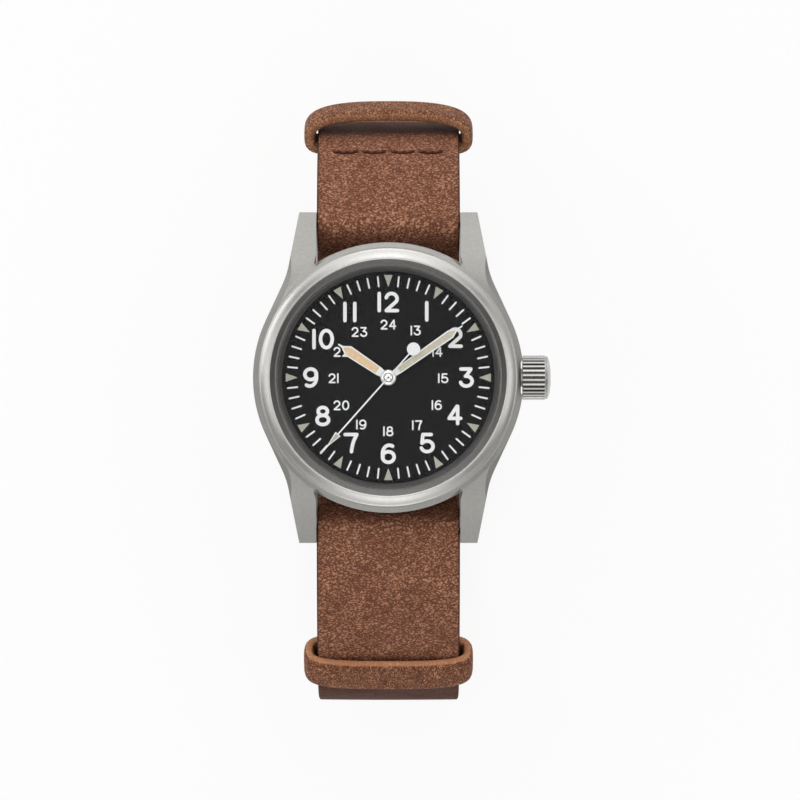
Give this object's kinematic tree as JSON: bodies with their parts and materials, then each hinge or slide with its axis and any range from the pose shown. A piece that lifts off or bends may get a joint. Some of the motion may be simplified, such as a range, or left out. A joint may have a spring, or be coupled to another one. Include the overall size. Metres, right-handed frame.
{
  "type": "field watch",
  "caption": "Mechanical field watch with a 24-hour dial, closed on a leather strap with keepers and a pin buckle, with its movement inside",
  "frame": {"origin": "on the dial's axis, at the flat outer face of the strap keeper that the watch stands on", "axes": "+Z leaves the dial, +Y points at 12 o'clock along the strap, +X points at the crown"},
  "size_m": [0.0418, 0.0863, 0.054],
  "materials": {
    "leather": "tan brown grained leather, semi-matt",
    "thread": "waxed brown sewing thread",
    "blasted_steel": "bead-blasted stainless steel, matt",
    "steel": "machined steel",
    "gasket_rubber": "black nitrile rubber",
    "crystal_glass": "clear flat sapphire or mineral glass",
    "black_coat": "matt black dial lacquer",
    "lume": "cream luminous compound",
    "hand_white": "white enamelled hands",
    "ring_plastic": "grey moulded spacer",
    "nickel": "nickel-plated plate and bridges",
    "brass": "gilt brass wheels",
    "ruby": "synthetic ruby"
  },
  "bodies": {
    "case": {"strap_main": "leather", "strap_underlay": "leather", "keeper_upper": "leather", "keeper_lower": "leather", "keeper_fixed": "leather", "seam_upper": "thread", "seam_fold": "thread", "spring_bars": "steel", "buckle_frame": "steel", "buckle_bar": "steel", "case_middle": "blasted_steel", "bezel_ring": "blasted_steel", "crystal_gasket": "gasket_rubber", "crystal": "crystal_glass", "flange_ring": "black_coat", "case_back_gasket": "gasket_rubber", "case_back": "blasted_steel", "movement_ring": "ring_plastic", "crown_tube": "steel", "dial": "black_coat", "lume_plots": "lume", "main_plate": "nickel", "barrel_bridge": "nickel", "train_bridge": "nickel", "balance_cock": "nickel", "bridge_screws": "steel", "jewels": "ruby"},
    "tongue": {"buckle_tongue": "steel"},
    "sliding_keeper": {"keeper_free": "leather"},
    "crown_slide": {"crown_gasket": "gasket_rubber"},
    "crown_stem": {"crown": "blasted_steel", "winding_stem": "steel"},
    "seconds": {"fourth_wheel": "brass", "seconds_hand": "hand_white"},
    "minutes": {"centre_wheel": "brass", "cannon_pinion": "steel", "minute_hand": "hand_white", "minute_hand_lume": "lume"},
    "hours": {"hour_wheel": "brass", "hour_hand": "hand_white", "hour_hand_lume": "lume"},
    "third": {"third_wheel": "brass"},
    "escape": {"escape_wheel": "brass"},
    "barrel": {"barrel_drum": "nickel", "mainspring": "steel"},
    "motion_wheel": {"minute_wheel": "brass"},
    "setting": {"setting_wheel": "steel"},
    "pallets": {"pallet_fork": "steel"},
    "balance": {"balance_wheel": "brass", "hairspring": "steel"},
    "pinion_winding": {"winding_pinion": "steel"},
    "wheel_crown": {"crown_wheel": "steel"},
    "ratchet": {"ratchet_wheel": "steel", "barrel_arbor": "steel"},
    "pawl": {"click": "steel"},
    "yoke_slide": {"yoke": "steel"},
    "clutch": {"sliding_pinion": "steel"},
    "lever_setting": {"setting_lever": "steel"}
  },
  "joints": [
    {"name": "tongue_swing", "type": "hinge", "parent": "case", "child": "tongue", "pos_m": [0, -0.008, 0.00545], "axis": [1, 0, 0], "range_deg": [0, 20]},
    {"name": "keeper_shift", "type": "slide", "parent": "case", "child": "sliding_keeper", "axis": [0, 1, 0], "range_m": [-0.0012, 0.0035]},
    {"name": "crown_pull", "type": "slide", "parent": "case", "child": "crown_slide", "axis": [1, 0, 0], "range_m": [0, 0.001]},
    {"name": "crown_turn", "type": "hinge", "parent": "crown_slide", "child": "crown_stem", "pos_m": [0.021, 0, 0.04855], "axis": [1, 0, 0], "continuous": true},
    {"name": "seconds_turn", "type": "hinge", "parent": "case", "child": "seconds", "pos_m": [0, 0, 0.0515], "axis": [0, 0, -1], "continuous": true},
    {"name": "minute_turn", "type": "hinge", "parent": "case", "child": "minutes", "pos_m": [0, 0, 0.051], "axis": [0, 0, -1], "continuous": true},
    {"name": "hour_turn", "type": "hinge", "parent": "case", "child": "hours", "pos_m": [0, 0, 0.0505], "axis": [0, 0, -1], "continuous": true},
    {"name": "third_turn", "type": "hinge", "parent": "case", "child": "third", "pos_m": [-0.00432, -0.00157, 0.0475], "axis": [0, 0, -1], "continuous": true},
    {"name": "escape_turn", "type": "hinge", "parent": "case", "child": "escape", "pos_m": [0.00079, -0.00448, 0.0485], "axis": [0, 0, -1], "continuous": true},
    {"name": "barrel_turn", "type": "hinge", "parent": "case", "child": "barrel", "pos_m": [0.00215, 0.00592, 0.0485], "axis": [0, 0, -1], "continuous": true},
    {"name": "motion_turn", "type": "hinge", "parent": "case", "child": "motion_wheel", "pos_m": [0.00248, 0.0009, 0.0501], "axis": [0, 0, -1], "continuous": true},
    {"name": "setting_turn", "type": "hinge", "parent": "case", "child": "setting", "pos_m": [0.00567, 0.0009, 0.0501], "axis": [0, 0, -1], "continuous": true},
    {"name": "fork_rock", "type": "hinge", "parent": "case", "child": "pallets", "pos_m": [0.00295, -0.00569, 0.049], "axis": [0, 0, 1], "range_deg": [-3, 3]},
    {"name": "balance_swing", "type": "hinge", "parent": "case", "child": "balance", "pos_m": [0.00465, -0.00664, 0.0481], "axis": [0, 0, 1], "range_deg": [-270, 270], "stiffness_Nm_per_rad": 0.00000036},
    {"name": "winding_pinion_turn", "type": "hinge", "parent": "case", "child": "pinion_winding", "pos_m": [0.0082, 0, 0.04855], "axis": [1, 0, 0], "continuous": true},
    {"name": "crown_wheel_turn", "type": "hinge", "parent": "case", "child": "wheel_crown", "pos_m": [0.0062, 0, 0.0471], "axis": [0, 0, 1], "continuous": true},
    {"name": "ratchet_turn", "type": "hinge", "parent": "case", "child": "ratchet", "pos_m": [0.00215, 0.00592, 0.0471], "axis": [0, 0, 1], "continuous": true},
    {"name": "click_lift", "type": "hinge", "parent": "case", "child": "pawl", "pos_m": [-0.00257, 0.00865, 0.0471], "axis": [0, 0, 1], "range_deg": [0, 6], "stiffness_Nm_per_rad": 0.00002},
    {"name": "yoke_shift", "type": "slide", "parent": "case", "child": "yoke_slide", "axis": [1, 0, 0], "range_m": [-0.0005, 0]},
    {"name": "clutch_turn", "type": "hinge", "parent": "yoke_slide", "child": "clutch", "pos_m": [0.0069, 0, 0.04855], "axis": [1, 0, 0], "continuous": true},
    {"name": "lever_turn", "type": "hinge", "parent": "case", "child": "lever_setting", "pos_m": [0.0096, -0.00246, 0.0479], "axis": [0, 0, -1], "range_deg": [0, 28.65]}
  ],
  "couplings": [
    {"joint": "minute_turn", "follows": "seconds_turn", "ratio": 0.016667},
    {"joint": "hour_turn", "follows": "seconds_turn", "ratio": 0.0013889},
    {"joint": "third_turn", "follows": "seconds_turn", "ratio": -0.13333},
    {"joint": "escape_turn", "follows": "seconds_turn", "ratio": -12},
    {"joint": "barrel_turn", "follows": "seconds_turn", "ratio": -0.0025641},
    {"joint": "motion_turn", "follows": "seconds_turn", "ratio": -0.0055556},
    {"joint": "setting_turn", "follows": "seconds_turn", "ratio": 0.0090909},
    {"joint": "winding_pinion_turn", "follows": "crown_turn", "ratio": 1},
    {"joint": "clutch_turn", "follows": "crown_turn", "ratio": 1},
    {"joint": "crown_wheel_turn", "follows": "crown_turn", "ratio": 0.5},
    {"joint": "ratchet_turn", "follows": "crown_turn", "ratio": -0.33333},
    {"joint": "yoke_shift", "follows": "crown_pull", "ratio": -0.5},
    {"joint": "lever_turn", "follows": "crown_pull", "rad_per_m": 500}
  ]
}
